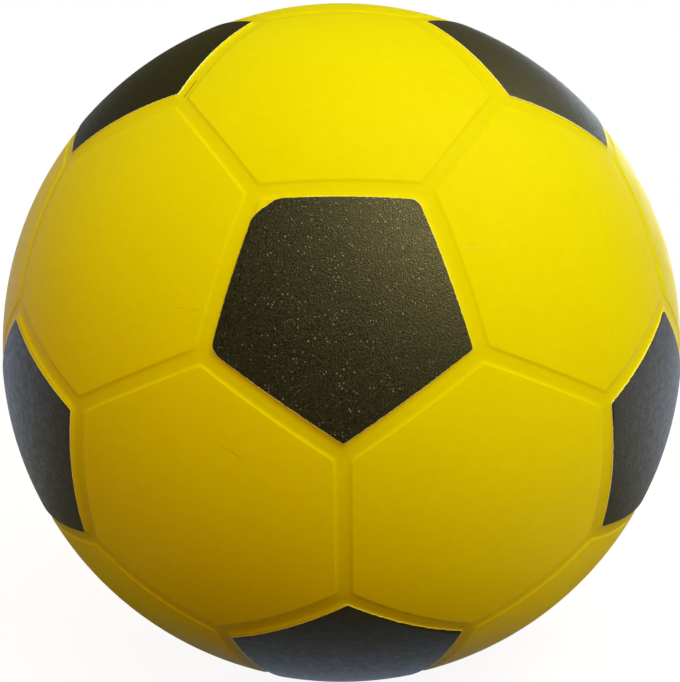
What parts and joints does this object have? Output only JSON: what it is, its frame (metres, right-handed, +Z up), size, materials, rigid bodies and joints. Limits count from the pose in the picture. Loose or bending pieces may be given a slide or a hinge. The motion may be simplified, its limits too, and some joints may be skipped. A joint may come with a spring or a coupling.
{
  "type": "foam soccer ball",
  "caption": "Round moulded foam play ball with a tough yellow skin, seam channels in the pentagon and hexagon pattern, and black painted pentagons.",
  "frame": {"origin": "centre of the ball", "axes": "+Z up through the middles of two opposite hexagons, -Y towards the side with the front pentagon, +X to its right"},
  "size_m": [0.2, 0.2002, 0.2],
  "materials": {
    "cellular_foam": "open soft polyurethane foam cells",
    "yellow_skin": "satin moulded skin with a fine grain",
    "black_paint": "grainy satin paint film"
  },
  "bodies": {
    "root": {"foam_core": "cellular_foam", "moulded_skin": "yellow_skin", "black_pentagon_front": "black_paint", "black_pentagon_right": "black_paint", "black_pentagon_left": "black_paint", "black_pentagon_top_right": "black_paint", "black_pentagon_top_left": "black_paint", "black_pentagon_top_rear": "black_paint", "black_pentagon_rear_right": "black_paint", "black_pentagon_rear_left": "black_paint", "black_pentagon_rear": "black_paint", "black_pentagon_bottom_front": "black_paint", "black_pentagon_bottom_right": "black_paint", "black_pentagon_bottom_left": "black_paint"}
  },
  "joints": []
}
